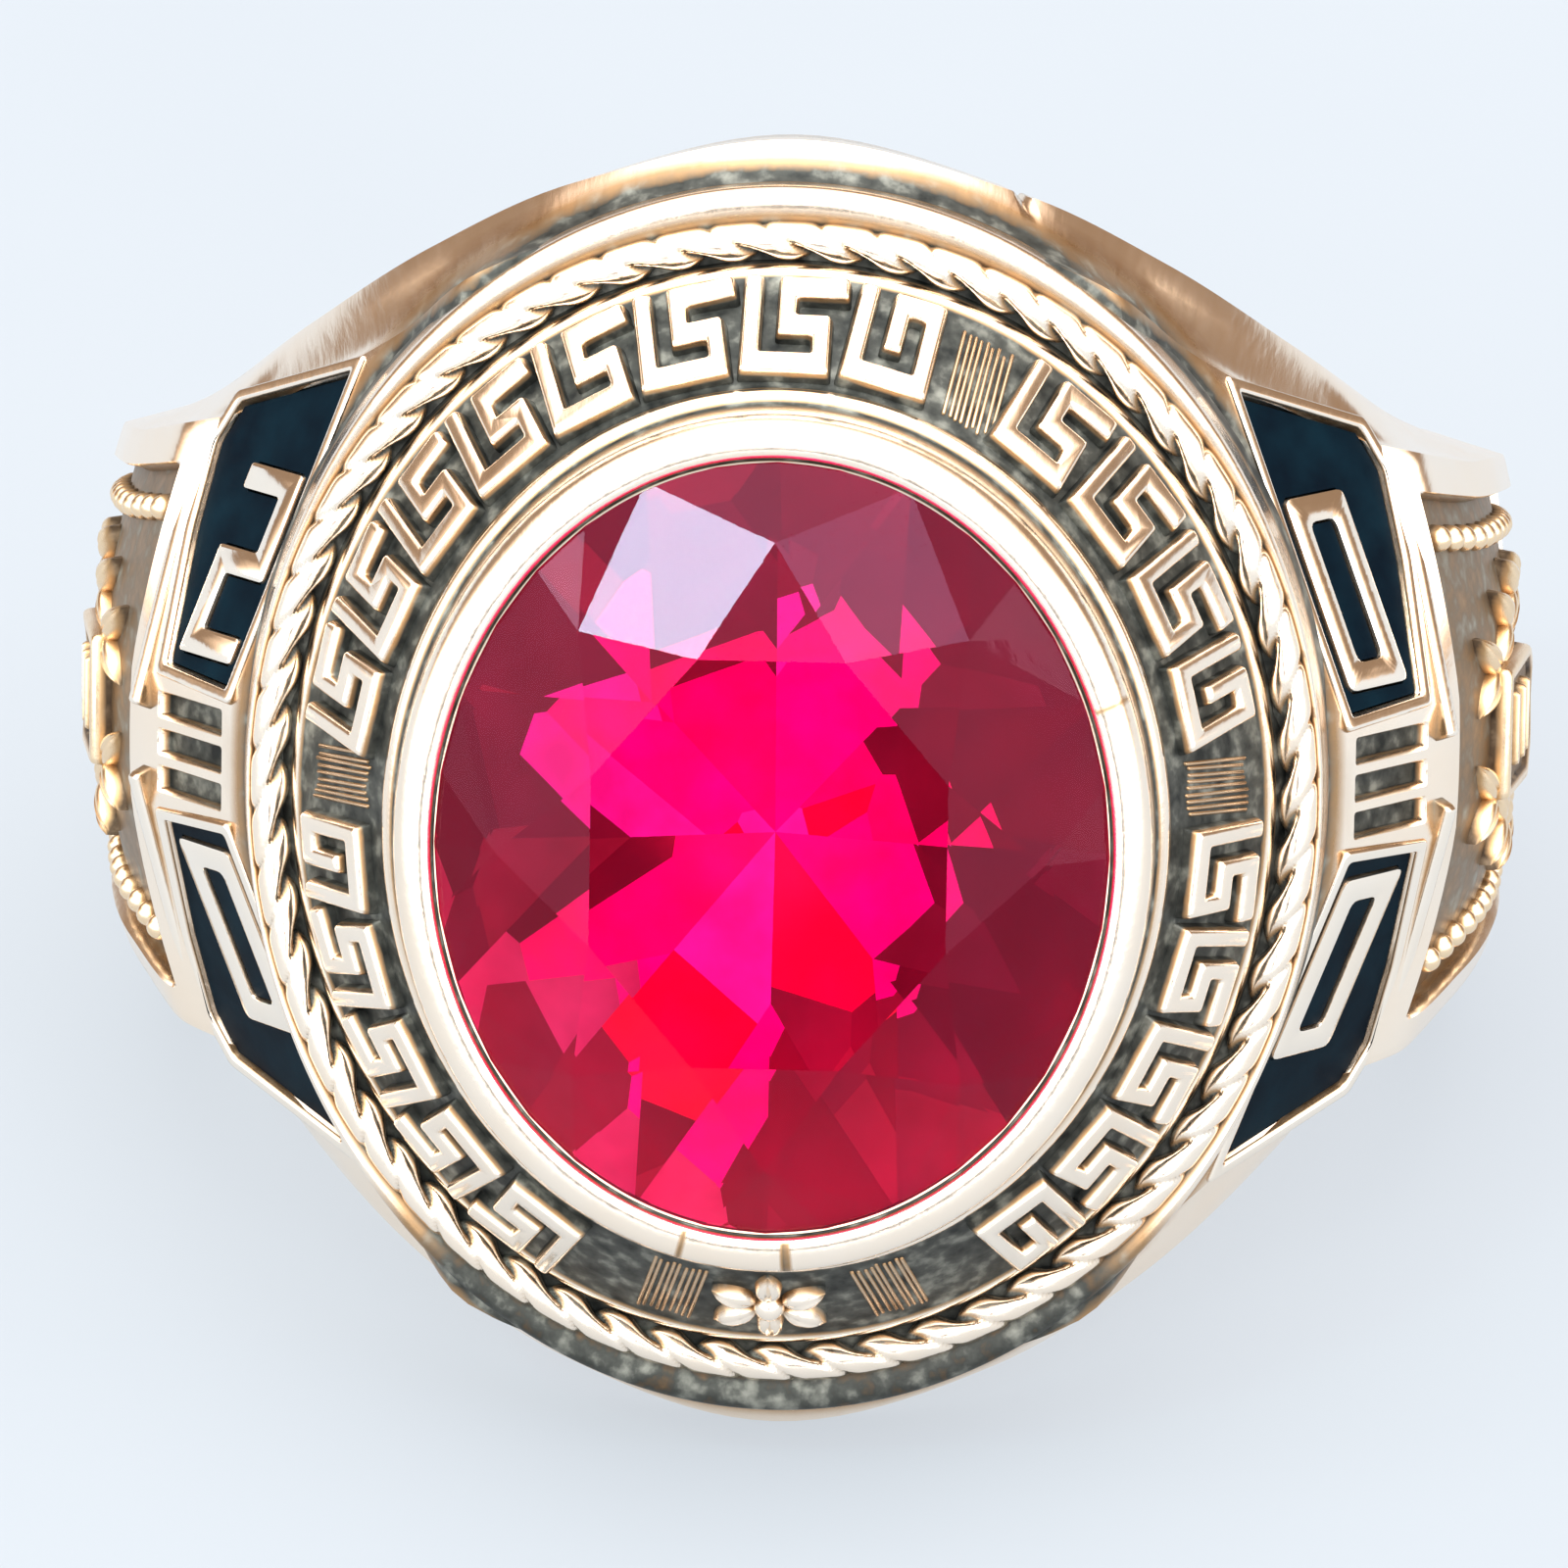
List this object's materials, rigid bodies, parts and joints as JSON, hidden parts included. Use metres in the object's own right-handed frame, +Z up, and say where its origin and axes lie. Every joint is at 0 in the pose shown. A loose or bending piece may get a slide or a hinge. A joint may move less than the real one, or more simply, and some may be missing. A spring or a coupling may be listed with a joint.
{
  "type": "class ring",
  "caption": "Class ring worn on a finger: oval faceted red stone in a polished bezel, raised ornament band inside a twisted cord border, black enamel shoulder fields and a tapering gold band.",
  "frame": {"origin": "centre of the finger hole, on its axis", "axes": "+Z up from the surface the ring lies on; the stone faces -Y; the finger hole's axis leans from +Z towards +Y by the ring's tilt at rest; +X across the ring"},
  "size_m": [0.0246, 0.0275, 0.0199],
  "materials": {
    "gold": "polished, with darkened recesses",
    "stone": "polished facets",
    "enamel": "glossy"
  },
  "bodies": {
    "root": {"ring_body": "gold", "stone": "stone", "enamel_left_upper": "enamel", "enamel_left_lower": "enamel", "enamel_right_upper": "enamel", "enamel_right_lower": "enamel"}
  },
  "joints": []
}
